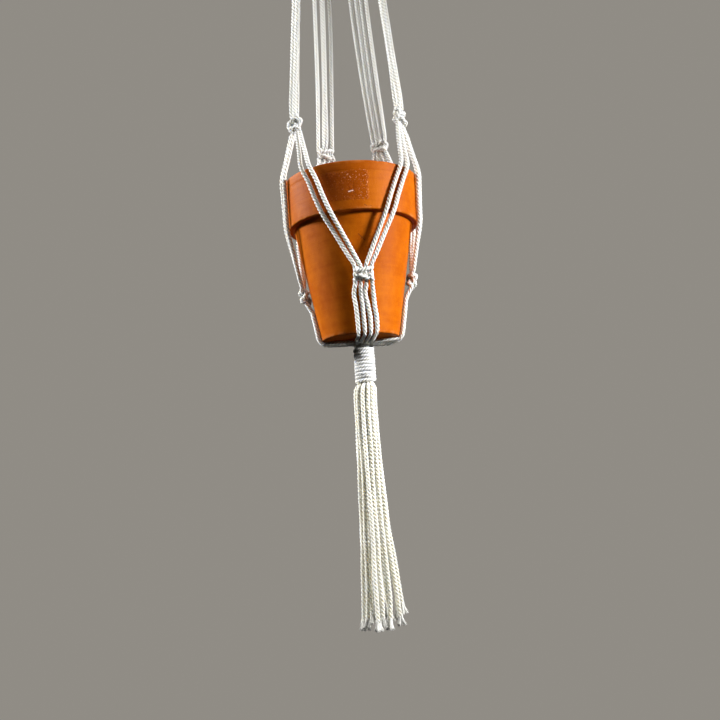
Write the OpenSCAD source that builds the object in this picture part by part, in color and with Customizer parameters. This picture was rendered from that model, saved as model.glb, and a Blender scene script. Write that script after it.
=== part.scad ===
// Hanging macrame planter: a clay pot held in a knotted cotton cord hanger.
// Eight long cords are folded over a ring, so that sixteen ends hang from it.
// A wrap gathers them, four arms of four cords run down to a square knot each,
// and each arm splits in two around the pot. Neighbouring halves meet in four
// lower knots, run under the pot and are wrapped again above a loose tassel.
// The origin is the hang point, at the inside top of the ring. +Z is up, -Y is
// the front, and azimuths are degrees from the front, positive to the right.

/* [Pot] */
// Height of the pot
pot_h = 140; // [135:1:145]
// Outside diameter of the rim
rim_d = 120; // [117:1:123]
// Outside diameter of the foot
foot_d = 67; // [64:1:70]
// Height of the collar around the rim
collar_h = 41; // [36:1:46]
// How much the collar's radius shrinks down to its lower edge
collar_taper = 3; // [2:0.5:4]
// Step from the collar's lower edge in to the body
collar_step = 5; // [4:0.5:6]
// Wall thickness at the rim
rim_wall = 6; // [5:0.5:7]
// Wall thickness at the foot
foot_wall = 4.5; // [4:0.5:5]
// Thickness of the floor
floor_t = 6; // [5:0.5:8]
// Diameter of the drain hole
drain_d = 10; // [8:1:14]

/* [Hanger] */
// Distance from the hang point down to the pot's rim
hang_drop = 700; // [640:10:760]
// Diameter of the cord
cord_d = 4; // [3.6:0.1:4]
// Outside diameter of the hanging ring
ring_d = 56; // [54:1:60]
// Thickness of the ring's bar
ring_bar = 8; // [7:0.5:8]
// Height of the wrap below the ring
top_wrap_h = 32; // [26:1:40]
// Height of the wrap below the pot
bottom_wrap_h = 33; // [28:1:38]
// Outside diameter of both wraps
wrap_d = 18.4; // [18.4:0.1:19]

/* [Knots] */
// Width of a knot, along the pot's surface
knot_w = 18.4; // [18:0.1:19]
// Thickness of a knot
knot_t = 10; // [9:0.5:10.5]
// Height of a knot
knot_h = 13; // [11:0.5:14]
// Distance of the upper knots from the pot's axis
upper_knot_r = 53; // [51:0.5:55]

/* [Hidden] */
$fn = 64;
// Azimuths of the arms: front left, front right, back right, back left
arm_az = [-57, 63, 145, 204];
// Azimuths at which the same arms leave the top wrap
arm_top_az = [-45, 45, 135, 225];
// Heights of the upper knots over the rim, in the same order
upper_knot_up = [47, 50, 52, 50];
// How far each arm bows to the right of a straight line, in the same order
arm_bow = [-2, 2.5, -5, 5];
// Places of each arm's four cords across and out from the arm's middle
arm_across = [
    [-4.5, -1.5, 1.5, 4.5],
    [-4.5, -1.5, 1.5, 4.5],
    [-6.9, -2.3, 2.3, 6.9],
    [-7.2, -0.4, 0.4, 7.2]
];
arm_out = [[-1.4, 1.4, -1.4, 1.4], [1.4, -1.4, 1.4, -1.4], [0, 0, 0, 0], [0, 2.1, -2.1, 0]];
// How far the cords of each arm have come into one row where the top wrap takes them
arm_row = [1, 1, 1, 0.7];
// How much wider the cords of each arm lie apart a third of the way up
arm_slack = [1, 1, 1.32, 1.1];
// Azimuths of the lower knots: front, right, back, left
lower_az = [7, 94, 175, 265];
// Heights of the lower knots over the pot's foot, in the same order
lower_knot_up = [47, 50, 46, 42];

arm_names = ["front_left", "front_right", "back_right", "back_left"];
lower_names = ["front", "right", "back", "left"];

cord_r = cord_d / 2;
cord_sides = 8;
// Gap between cords and the clay, which lets the pot turn in its cradle
clear = 0.45;
rim_r = rim_d / 2;
foot_r = foot_d / 2;
collar_low_r = rim_r - collar_taper;
body_top_r = collar_low_r - collar_step;
body_h = pot_h - collar_h;
body_tilt = atan((body_top_r - foot_r) / body_h);
rim_z = -hang_drop;
foot_z = rim_z - pot_h;

ring_r = (ring_d - ring_bar) / 2;
ring_z = ring_bar - ring_d / 2;
loop_r = ring_bar / 2 + cord_r + 0.5;
loop_pitch = 13.4;
leg_drop = 28;
top_wrap_z = ring_z - ring_d / 2 - leg_drop;
arm_top_z = top_wrap_z - top_wrap_h;
bottom_wrap_z = foot_z - 6;
tassel_z = bottom_wrap_z - bottom_wrap_h;

// Cords are squeezed where a wrap holds them
tight_r = 1.4;
tight_pitch = 2.8;
row_r = 6.2;
core_r = 6.4;
// Where four cords lie side by side at a knot
knot_pitch = 4.6;
// Half the distance between the two cords of a pair where they cross the rim:
// pairs that run to the front or back knot, and pairs that run to a side knot
pair_spread = 4.2;
side_pair_spread = 3.4;
// The same where the pair comes down to its lower knot
low_spread = 3.2;
// Radius at which the sixteen cords meet under the pot
gather_r = 12;
// How far right of the pot's axis the bottom wrap hangs
gather_x = 1.8;
// Angle between the cords under each lower knot, and how far round to the right they drift
under_pitch = [8.4, 6.6, 8.4, 6.6];
under_drift = [3.2, 0, 0, 0];
// The pot's weight squeezes those cords to this radius under its foot
pressed_r = 1.5;
// How far a pair lags behind an even turn round the pot, from the rim down, in degrees:
// the front left arm's right pair, the front right arm's left pair, and all others
front_left_lag = [-2.1, -1, 1.6, 3.3];
front_right_lag = [2.7, 2.8, 3, 3.9];
other_lag = [0.5, 1, 2.3, 3.6];

// Outer strands of the tassel: azimuth at the tip, radius at the tip, length
outer_strands = [
    [-58, 16, 200], [-34, 17, 199], [-6, 17.5, 200], [12, 14.5, 198],
    [34, 16.5, 200], [62, 19.5, 198], [84, 20.5, 190], [112, 18, 196],
    [148, 16, 195], [180, 15, 193], [212, 14.5, 197], [250, 14.5, 199]
];
// Inner strands, in the same way
inner_strands = [[-10, 8, 190], [60, 9.5, 196], [170, 8, 192], [250, 8, 197]];
strand_gap = 3;

arm_nodes = [for (name = arm_names) str("arm_", name)];
upper_knot_nodes = [for (name = arm_names) str("upper_knot_", name)];
pair_nodes = [for (name = arm_names, side = ["left", "right"]) str("cradle_", name, "_", side)];
lower_knot_nodes = [for (name = lower_names) str("lower_knot_", name)];
under_nodes = [for (name = lower_names) str("under_cords_", name)];
loop_nodes = [for (i = [1:8]) str("ring_loop_", i)];
strand_nodes = [for (i = [1:16]) str("tassel_strand_", i)];

function mix(a, b, t) = a + (b - a) * t;
function unit(v) = v / norm(v);
function polar(r, az, z) = [r * sin(az), -r * cos(az), z];
function tangent(az) = [cos(az), sin(az), 0];
function bezier(a, b, c, d, t) =
    a * pow(1 - t, 3) + b * 3 * t * pow(1 - t, 2) + c * 3 * t * t * (1 - t) + d * pow(t, 3);

// Outside radius of the clay at a height over the foot
function body_r(up) = mix(foot_r, body_top_r, up / body_h);
function collar_r(up) = mix(collar_low_r, rim_r, (up - body_h) / collar_h);
// Radius of the line on which a cord's middle runs down the body
function on_body(up) = body_r(up) + (cord_r + clear) / cos(body_tilt);
function on_collar(up) = collar_r(up) + cord_r + clear;

// One cord: a tube through points. side is the direction that stays level across
// the cord, radii one radius for each point, and from and to the end directions.
module tube(points, side, radii, from, to) {
    last = len(points) - 1;
    along = [for (i = [0:last])
        i == 0 ? unit(from) :
        i == last ? unit(to) :
        unit(unit(points[i] - points[i - 1]) + unit(points[i + 1] - points[i]))];
    corners = [for (i = [0:last], k = [0:cord_sides - 1])
        let (u = unit(side - along[i] * (side * along[i])),
             v = cross(along[i], u),
             a = 360 * (k + 0.5) / cord_sides)
        points[i] + radii[i] * (u * cos(a) + v * sin(a))];
    walls = [for (i = [0:last - 1], k = [0:cord_sides - 1])
        let (n = (k + 1) % cord_sides, a = i * cord_sides, b = a + cord_sides)
        [a + k, b + k, b + n, a + n]];
    start_cap = [for (k = [0:cord_sides - 1]) k];
    end_cap = [for (k = [cord_sides - 1:-1:0]) last * cord_sides + k];
    polyhedron(corners, concat([start_cap, end_cap], walls), convexity = 4);
}

function same(points) = [for (p = points) cord_r];

// A knot is a block with round ends, its middle at the origin of its own frame
module knot_block() {
    translate([0, 0, -knot_h / 2])
        linear_extrude(knot_h)
            union() {
                square([knot_w - knot_t, knot_t], center = true);
                for (x = [-1, 1])
                    translate([x * (knot_w - knot_t) / 2, 0])
                        circle(d = knot_t);
            }
}

module pot() {
    inner_top_r = rim_r - rim_wall;
    inner_foot_r = foot_r - foot_wall;
    color("chocolate")
        translate([0, 0, foot_z])
            rotate_extrude($fn = 96)
                polygon([
                    [drain_d / 2, 0],
                    [foot_r - 1, 0],
                    [foot_r, 1],
                    [body_top_r, body_h],
                    [collar_low_r - 0.8, body_h],
                    [collar_low_r, body_h + 0.8],
                    [rim_r, pot_h - 1.5],
                    [rim_r - 1.5, pot_h],
                    [inner_top_r + 1.5, pot_h],
                    [inner_top_r, pot_h - 1.5],
                    [inner_foot_r, floor_t],
                    [drain_d / 2, floor_t]
                ]);
}

module hanging_ring() {
    color("burlywood")
        translate([0, 0, ring_z])
            rotate([90, 0, 0])
                rotate_extrude($fn = 96)
                    translate([ring_r, 0])
                        circle(d = ring_bar);
}

// Place of one of four squeezed cords in its row, at the face of a wrap
function row_place(az, j, z) = polar(row_r, az, z) + tangent(az) * (j - 1.5) * tight_pitch;

// One leg of a loop, from the side of the ring's bar to the top wrap
function leg(i, side, t) =
    let (b = (i - 3.5) * loop_pitch,
         down = [sin(b), 0, -cos(b)],
         start = [0, side * loop_r, ring_z] + ring_r * down,
         slot = row_place(i < 4 ? -45 : 45, i % 4, top_wrap_z),
         end = [slot[0], -side * slot[1], slot[2]])
    bezier(start, start + 6 * down, end + [0, 0, 5], end, t);

// The radius of a leg, which is squeezed towards the wrap
function leg_radius(t) = mix(cord_r, tight_r, pow(t, 0.3));

// The fold of one long cord over the ring, with both its legs
module ring_loop(i) {
    b = (i - 3.5) * loop_pitch;
    down = [sin(b), 0, -cos(b)];
    middle = [0, 0, ring_z] + ring_r * down;
    front_leg = [for (t = [1:-0.2:0.1]) leg(i, -1, t)];
    back_leg = [for (t = [0.2:0.2:1.01]) leg(i, 1, t)];
    fold = [for (a = [-90:22.5:90])
        middle + loop_r * ([0, sin(a), 0] - down * cos(a))];
    front_radii = [for (t = [1:-0.2:0.1]) leg_radius(t)];
    back_radii = [for (t = [0.2:0.2:1.01]) leg_radius(t)];
    color("ivory")
        tube(concat(front_leg, fold, back_leg), [cos(b), 0, sin(b)],
            concat(front_radii, same(fold), back_radii), [0, 0, 1], [0, 0, -1]);
}

// The squeezed cords inside the top wrap
module top_bundle() {
    color("ivory")
        translate([0, 0, arm_top_z])
            cylinder(r = core_r, h = top_wrap_h);
}

module wrap(h) {
    difference() {
        cylinder(d = wrap_d, h = h);
        translate([0, 0, -1])
            cylinder(r = core_r, h = h + 2);
    }
}

module top_wrap() {
    color("linen")
        translate([0, 0, arm_top_z])
            wrap(top_wrap_h);
}

// The cords that meet under the pot and run squeezed through the bottom wrap.
// It ends in a low cone, which leaves room for the tassel to sway.
module bottom_bundle() {
    disc_top = foot_z - 0.4;
    disc_low = foot_z - 4.8;
    color("ivory")
        translate([gather_x, 0, 0])
            rotate_extrude()
                polygon([
                    [0, tassel_z - 1],
                    [core_r, tassel_z],
                    [core_r, bottom_wrap_z],
                    [wrap_d / 2, bottom_wrap_z],
                    [gather_r, disc_low],
                    [gather_r, disc_top],
                    [0, disc_top]
                ]);
}

module bottom_wrap() {
    color("linen")
        translate([gather_x, 0, tassel_z])
            wrap(bottom_wrap_h);
}

// Four cords side by side, from a square knot up to the top wrap
module arm(i) {
    knot_top = rim_z + upper_knot_up[i] + knot_h / 2;
    // The cords lie at full thickness up to here, and are squeezed above it
    full = 0.82;
    places = [0, 0.1, 0.22, 0.36, 0.52, 0.68, full, 0.91, 1];
    color("ivory")
        for (j = [0:3]) {
            points = [for (t = places)
                let (az = mix(arm_az[i], arm_top_az[i], t),
                     swell = 6.75 * t * pow(1 - t, 2),
                     squeeze = max(0, (t - full) / (1 - full)),
                     across = arm_across[i][j] * mix(1, arm_slack[i], swell),
                     out = arm_out[i][j] * (1 - arm_row[i] * pow(squeeze, 2.7)))
                polar(mix(upper_knot_r, row_r, t) + out, az, mix(knot_top, arm_top_z, t))
                    + tangent(az) * mix(across, (j - 1.5) * tight_pitch, squeeze)
                    + [arm_bow[i] * swell, 0, 0]];
            radii = [for (t = places) t == 1 ? tight_r : t > full ? 1.5 : cord_r];
            tube(points, tangent(arm_az[i]), radii, [0, 0, 1], [0, 0, 1]);
        }
}

module upper_knot(i) {
    color("ivory")
        translate(polar(upper_knot_r, arm_az[i], rim_z + upper_knot_up[i]))
            rotate([0, 0, arm_az[i]])
                knot_block();
}

// Up along the pot's body at an azimuth, which is also the axis of a lower knot
function slope(az) = polar(sin(body_tilt), az, cos(body_tilt));
function lower_knot_middle(k) =
    polar(body_r(lower_knot_up[k]) + (clear + knot_t / 2) / cos(body_tilt),
        lower_az[k], foot_z + lower_knot_up[k]);

// Azimuth of the knot that an arm's left or right pair runs to, next to the arm's own
function pair_az(i, right) = right ? lower_az[i] : lower_az[(i + 3) % 4] - (i == 0 ? 360 : 0);

function pair_lag(i, right) =
    i == 0 && right ? front_left_lag :
    i == 1 && !right ? front_right_lag :
    other_lag;

// Half an arm: two cords from the upper knot, over the rim, to a lower knot
module cradle_pair(i, right) {
    k = right ? i : (i + 3) % 4;
    knot_low = upper_knot_up[i] + pot_h - knot_h / 2;
    low_end = lower_knot_middle(k) + slope(lower_az[k]) * knot_h / 2;
    span = knot_low - lower_knot_up[k];
    spread = k % 2 == 0 ? pair_spread : side_pair_spread;
    function az_at(up) = mix(arm_az[i], pair_az(i, right), (knot_low - up) / span);
    ups = [pot_h + 1, pot_h - 12, pot_h - 27, body_h - 0.5];
    color("ivory")
        for (j = [0, 1]) {
            across = (j - 0.5) * 2;
            start = polar(upper_knot_r, arm_az[i], foot_z + knot_low)
                + tangent(arm_az[i]) * (right ? j + 0.5 : j - 1.5) * knot_pitch;
            collar = [for (n = [0:3])
                let (up = ups[n],
                     az = az_at(up) + (right ? -1 : 1) * pair_lag(i, right)[n],
                     wide = mix(low_spread, spread,
                         (up - lower_knot_up[k]) / (pot_h - lower_knot_up[k])))
                polar(on_collar(min(up, pot_h)), az, foot_z + up) + tangent(az) * across * wide];
            end = low_end + tangent(lower_az[k]) * (right ? j - 1.5 : j + 0.5) * knot_pitch;
            points = concat([start, mix(start, collar[0], 0.5)], collar,
                [mix(collar[3], end, 0.5), end]);
            tube(points, tangent(arm_az[i]), same(points), [0, 0, -1], -slope(lower_az[k]));
        }
}

module lower_knot(k) {
    color("ivory")
        translate(lower_knot_middle(k))
            rotate([0, 0, lower_az[k]])
                rotate([body_tilt, 0, 0])
                    knot_block();
}

// Four cords from a lower knot, down the body and under the foot to the bundle
module under_cords(k) {
    az = lower_az[k];
    top = lower_knot_middle(k) - slope(az) * knot_h / 2;
    // The cords bend round the foot's bevelled edge
    bevel = 1;
    bend_r = bevel + clear + pressed_r;
    color("ivory")
        for (j = [0:3]) {
            start = top + tangent(az) * (j - 1.5) * knot_pitch;
            end_az = mix(5, 275, k / 3) + (j - 1.5) * 22.5;
            low_az = az + (j - 1.5) * under_pitch[k] + under_drift[k];
            down = [for (step = [[lower_knot_up[k] - knot_h / 2 - 9, 0.8], [14, 0.3], [2, 0]])
                polar(on_body(step[0]), low_az - under_drift[k] * step[1], foot_z + step[0])];
            turn = [for (a = [30, 60, 90])
                polar(foot_r - bevel + bend_r * cos(a), low_az, foot_z + bevel - bend_r * sin(a))];
            end = polar(gather_r, end_az, foot_z - clear - pressed_r - 0.9) + [gather_x, 0, 0];
            points = concat([start], down, turn, [mix(turn[2], end, 0.5), end]);
            radii = concat([for (n = [0:2]) cord_r], [for (n = [3:8]) pressed_r]);
            tube(points, tangent(az), radii, -slope(az), polar(-1, end_az, 0));
        }
}

// Route of a strand: it leaves the wrap squeezed, swells, and spreads to its tip
function strand_route(top_r, neck_r, top_az, tip) =
    let (top = tassel_z - strand_gap)
    concat([polar(top_r, top_az, top)],
        [for (t = [0.065, 0.16, 0.27, 0.4, 0.52, 0.64, 0.76, 0.88, 1])
            polar(mix(neck_r, tip[1], pow(t, 2.2)), mix(top_az, tip[0], t), top - tip[2] * t)]);

module tassel_strand(i) {
    outer = i < 12;
    tip = outer ? outer_strands[i] : inner_strands[i - 12];
    points = outer ?
        strand_route(5.6, 8.4, i * 30 - 75, tip) :
        strand_route(2.2, 3.4, (i - 12) * 90 - 15, tip);
    radii = concat([tight_r], [for (p = [2:len(points)]) cord_r]);
    color("ivory")
        tube(points, [1, 0, 0], radii, [0, 0, -1], [0, 0, -1]);
}

hanging_ring();
top_bundle();
top_wrap();
bottom_bundle();
bottom_wrap();
pot();
for (i = [0:7]) ring_loop(i);
for (i = [0:3]) arm(i);
for (i = [0:3]) upper_knot(i);
for (i = [0:7]) cradle_pair(floor(i / 2), i % 2 == 1);
for (k = [0:3]) lower_knot(k);
for (k = [0:3]) under_cords(k);
for (i = [0:15]) tassel_strand(i);
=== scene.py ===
import math

import bpy
import numpy as np
from mathutils import Matrix, Vector


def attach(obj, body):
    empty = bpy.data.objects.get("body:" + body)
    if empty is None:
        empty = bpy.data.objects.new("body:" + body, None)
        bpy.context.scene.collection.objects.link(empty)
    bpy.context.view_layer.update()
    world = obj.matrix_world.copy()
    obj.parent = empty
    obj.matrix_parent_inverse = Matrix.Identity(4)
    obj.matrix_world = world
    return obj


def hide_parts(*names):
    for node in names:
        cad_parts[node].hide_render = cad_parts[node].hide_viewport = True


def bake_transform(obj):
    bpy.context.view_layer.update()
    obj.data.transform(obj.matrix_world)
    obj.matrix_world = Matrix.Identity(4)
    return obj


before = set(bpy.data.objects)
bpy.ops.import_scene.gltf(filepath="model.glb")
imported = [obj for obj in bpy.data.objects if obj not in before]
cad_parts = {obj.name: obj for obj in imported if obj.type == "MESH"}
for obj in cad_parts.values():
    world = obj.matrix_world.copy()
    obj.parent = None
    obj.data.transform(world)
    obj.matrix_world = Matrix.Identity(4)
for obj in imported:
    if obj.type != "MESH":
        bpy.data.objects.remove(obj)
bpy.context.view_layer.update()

# Sizes are in millimetres, as in part.scad, and azimuths are degrees from the
# front, positive to the right. Meshes are scaled to metres when they are made.
MM = 0.001

POT_H = 140
RIM_R = 60
FOOT_R = 33.5
COLLAR_H = 41
COLLAR_LOW_R = 57
BODY_TOP_R = 52
BODY_H = POT_H - COLLAR_H
BODY_TILT = math.degrees(math.atan((BODY_TOP_R - FOOT_R) / BODY_H))
RIM_WALL = 6
FOOT_WALL = 4.5
FLOOR_T = 6
DRAIN_R = 5
FOOT_BEVEL = 1

RIM_Z = -700
FOOT_Z = RIM_Z - POT_H
CORD_R = 2
CLEAR = 0.45
RING_R = 24
RING_BAR_R = 4
RING_Z = -20
LOOP_R = 6.5
LOOP_PITCH = 13.4
TOP_WRAP_Z = -76
ARM_TOP_Z = -108
BOTTOM_WRAP_Z = -846
TASSEL_Z = -879
WRAP_R = 9.2
GATHER_R = 12
CORE_SLOT_R = 1.9
OUTER_SLOT_R = 4.45

ARM_AZ = [-57, 63, 145, 204]
ARM_TOP_AZ = [-45, 45, 135, 225]
UPPER_KNOT_UP = [47, 50, 52, 50]
ARM_BOW = [-2, 2.5, -5, 5]
ARM_ACROSS = [
    [-4.5, -1.5, 1.5, 4.5],
    [-4.5, -1.5, 1.5, 4.5],
    [-6.9, -2.3, 2.3, 6.9],
    [-7.2, -0.4, 0.4, 7.2],
]
ARM_OUT = [[-1.4, 1.4, -1.4, 1.4], [1.4, -1.4, 1.4, -1.4], [0, 0, 0, 0], [0, 2.1, -2.1, 0]]
ARM_ROW = [1, 1, 1, 0.7]
ARM_SLACK = [1, 1, 1.32, 1.1]
LOWER_AZ = [7, 94, 175, 265]
LOWER_KNOT_UP = [47, 50, 46, 42]
ARM_NAMES = ["front_left", "front_right", "back_right", "back_left"]
LOWER_NAMES = ["front", "right", "back", "left"]
UPPER_KNOT_R = 53
KNOT_T = 10
KNOT_H = 13
KNOT_PITCH = 4.6
PAIR_SPREAD = 4.2
SIDE_PAIR_SPREAD = 3.4
LOW_SPREAD = 3.2
GATHER_X = 1.8
UNDER_PITCH = [8.4, 6.6, 8.4, 6.6]
UNDER_DRIFT = [3.2, 0, 0, 0]
PRESSED_R = 1.5
FRONT_LEFT_LAG = [-2.1, -1, 1.6, 3.3]
FRONT_RIGHT_LAG = [2.7, 2.8, 3, 3.9]
OTHER_LAG = [0.5, 1, 2.3, 3.6]
KNOT_CORD_R = 1.82
KNOT_FACE_R = 1.85
KNOT_TOP_R = 1.8
TIGHT_R = 1.35

# How a cord is drawn: corners round it, distance between its rings, and the
# length of one turn of its three plies
SIDES = 18
STEP = 0.75
LAY = 9.8
# A ply's distance from the cord's middle, and its radius, in radii of the cord
PLY_OFFSET = 0.48
PLY_R = 0.52

rng = np.random.default_rng(249)


def mix(a, b, t):
    """a when t is 0, b when t is 1."""
    return a + (b - a) * t


def unit(v):
    return v / np.linalg.norm(v)


def smooth(low, high, x):
    """0 below low, 1 above high, and a smooth step between them."""
    t = np.clip((x - low) / (high - low), 0, 1)
    return t * t * (3 - 2 * t)


def polar(r, az, z):
    """The point at radius r, azimuth az and height z."""
    a = math.radians(az)
    return np.array([r * math.sin(a), -r * math.cos(a), z])


def tangent(az):
    """The level direction along the pot's surface at azimuth az, to the right."""
    a = math.radians(az)
    return np.array([math.cos(a), math.sin(a), 0])


def body_r(up):
    """Radius of the pot's body at a height over the foot."""
    return mix(FOOT_R, BODY_TOP_R, up / BODY_H)


def collar_r(up):
    """Radius of the collar at a height over the foot."""
    return mix(COLLAR_LOW_R, RIM_R, (up - BODY_H) / COLLAR_H)


# ---------------------------------------------------------------- camera


# Where the camera stands in metres, and its turn in degrees
CAMERA_PLACE = (0, -0.6877, -0.9532)
CAMERA_YAW = -0.168
CAMERA_PITCH = 7.90
CAMERA_ROLL = -3.94


def make_camera():
    """The camera stands in front of the pot's foot and looks slightly up, with a small roll."""
    yaw = math.radians(CAMERA_YAW)
    pitch = math.radians(CAMERA_PITCH)
    roll = math.radians(CAMERA_ROLL)
    level_reach = math.cos(pitch)
    forward = Vector((math.sin(yaw) * level_reach, math.cos(yaw) * level_reach, math.sin(pitch)))
    level = Vector((math.cos(yaw), -math.sin(yaw), 0))
    upright = level.cross(forward)
    right = math.cos(roll) * level + math.sin(roll) * upright
    up = -math.sin(roll) * level + math.cos(roll) * upright
    data = bpy.data.cameras.new("camera")
    data.sensor_width = 36
    data.lens = 40
    camera = bpy.data.objects.new("camera", data)
    bpy.context.scene.collection.objects.link(camera)
    turn = Matrix((right, up, -forward)).transposed()
    camera.matrix_world = Matrix.Translation(CAMERA_PLACE) @ turn.to_4x4()
    bpy.context.scene.camera = camera


# ---------------------------------------------------------------- materials


class Graph:
    """A material with a Principled shader, and short ways to add nodes to it."""

    def __init__(self, name):
        self.material = bpy.data.materials.new(name)
        self.material.use_nodes = True
        self.tree = self.material.node_tree
        self.shader = self.tree.nodes["Principled BSDF"]

    def node(self, kind, inputs=None, **settings):
        """A new node, with values or links for its inputs."""
        made = self.tree.nodes.new("ShaderNode" + kind)
        for name, value in settings.items():
            setattr(made, name, value)
        for name, value in (inputs or {}).items():
            self.feed(made.inputs[name], value)
        return made

    def feed(self, socket, value):
        if isinstance(value, bpy.types.NodeSocket):
            self.tree.links.new(value, socket)
        else:
            socket.default_value = value

    def set(self, **values):
        """Sets or links the shader's own sockets."""
        for name, value in values.items():
            self.feed(self.shader.inputs[name.replace("_", " ")], value)

    def math(self, operation, a, b=0.0, c=0.0, clamp=False):
        made = self.node("Math", {0: a, 1: b, 2: c}, operation=operation, use_clamp=clamp)
        return made.outputs[0]

    def colour(self, factor, a, b):
        """Colour a where factor is 0 and colour b where it is 1."""
        return self.node("Mix", {0: factor, 6: a, 7: b}, data_type="RGBA").outputs[2]

    def step(self, value, low, high, to_low=0.0, to_high=1.0):
        """A smooth step of value from low to high, which may be the wrong way round."""
        inputs = {0: value, 1: low, 2: high, 3: to_low, 4: to_high}
        if low > high:
            inputs = {0: value, 1: high, 2: low, 3: to_high, 4: to_low}
        return self.node("MapRange", inputs, interpolation_type="SMOOTHSTEP").outputs[0]

    def noise(self, vector, scale, detail=2.0, rough=0.5, stretch=None):
        """Noise, with its scale along each axis multiplied by stretch."""
        if stretch is not None:
            vector = self.node("Mapping", {"Vector": vector, "Scale": stretch}).outputs[0]
        inputs = {"Vector": vector, "Scale": scale, "Detail": detail, "Roughness": rough}
        return self.node("TexNoise", inputs).outputs[0]

    def value(self, name):
        """A value stored at the mesh's corners."""
        return self.node("Attribute", attribute_name=name).outputs["Fac"]

    def bump(self, *layers):
        """Bump from (height, depth in metres, strength) layers."""
        normal = None
        for height, depth, strength in layers:
            inputs = {"Height": height, "Distance": depth, "Strength": strength}
            if normal is not None:
                inputs["Normal"] = normal
            normal = self.node("Bump", inputs).outputs[0]
        self.feed(self.shader.inputs["Normal"], normal)


def cotton_material(name, light, dark, deep, depth=1.0):
    """Twisted cotton: fine yarns along the cord, painted shade in the grooves between its plies
    and a soft sheen.

    Colours are (red, green, blue); deep is the colour of the painted shade at the bottom of the
    grooves. depth is how far light goes in: 0 for loose fibres.
    """
    g = Graph(name)
    along = g.node("UVMap", uv_map="along").outputs[0]
    place = g.node("TexCoord").outputs["Object"]
    yarns = g.noise(along, 1.0, 3.0, 0.65, stretch=(3000, 200, 1))
    threads = g.noise(along, 1.0, 1.0, 0.4, stretch=(1500, 40, 1))
    patches = g.noise(place, 55, 3.0)
    tone = g.value("tone")
    groove_shade = g.value("groove_shade")
    shade = g.math("ADD", g.math("MULTIPLY", yarns, 0.5), g.math("MULTIPLY", patches, 0.5))
    shade = g.math("ADD", shade, g.math("MULTIPLY", tone, 0.25))
    base = g.colour(g.step(shade, 0.3, 0.75), (*dark, 1), (*light, 1))
    # Painted shade: the grooves between the plies turn towards the deep colour
    base = g.colour(g.math("MULTIPLY", g.step(groove_shade, 0.25, 0.9), 0.8), base, (*deep, 1))
    g.set(Base_Color=base, Roughness=0.88, Specular_IOR_Level=0.25)
    g.set(Sheen_Weight=0.25, Sheen_Roughness=0.5)
    g.set(Subsurface_Weight=depth, Subsurface_Scale=0.0022)
    g.set(Subsurface_Radius=(1.0, 0.95, 0.85))
    g.bump((threads, 0.0006, 0.7), (yarns, 0.0003, 0.7))
    return g.material


def scratch(g, place, start, end, width):
    """1 on a short line between two points of the pot, and 0 away from it."""
    a, b = Vector(start), Vector(end)
    away = g.node("VectorMath", {0: place, 1: a}, operation="SUBTRACT").outputs[0]
    run = b - a
    share = g.node("VectorMath", {0: away, 1: run / run.length_squared}, operation="DOT_PRODUCT")
    share = g.math("ADD", share.outputs["Value"], 0.0, clamp=True)
    reach = g.node("VectorMath", {0: run, "Scale": share}, operation="SCALE").outputs[0]
    gap = g.node("VectorMath", {0: away, 1: reach}, operation="DISTANCE").outputs["Value"]
    return g.step(gap, width, width * 0.3)


def on_pot(az, up):
    """A point on the outside of the pot in metres, from its azimuth and height over the foot."""
    r = collar_r(up) if up > BODY_H else body_r(up)
    return tuple(polar(r, az, FOOT_Z + up) * MM)


CLAY_DARK = (0.37, 0.072, 0.001, 1)
CLAY_LIGHT = (0.50, 0.122, 0.002, 1)
CLAY_SPECKLE = (0.60, 0.19, 0.03, 1)
CLAY_PIT = (0.22, 0.05, 0.012, 1)
CLAY_RUBBED = (0.72, 0.30, 0.12, 1)
CLAY_PATCH = (0.24, 0.035, 0.002, 1)
CLAY_FLECK = (0.80, 0.36, 0.17, 1)
CLAY_MARK = (0.10, 0.03, 0.012, 1)
CLAY_FLAKE = (0.95, 0.66, 0.52, 1)

# Dark marks and a pale flake on the pot: (azimuth, height over the foot) of both
# ends, and the width
MARKS = [
    ((4.6, 80.5), (10.5, 75.5), 0.5),
    ((6.8, 76.5), (9.0, 78.5), 0.35),
    ((10.5, 102.6), (12.6, 101.4), 0.5),
    ((15.2, 101.9), (16.6, 101.5), 0.4),
    ((150, 60), (158, 64), 0.6),
]
FLAKE = ((-1.6, 113.8), (1.9, 114.5), 0.65)


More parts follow.
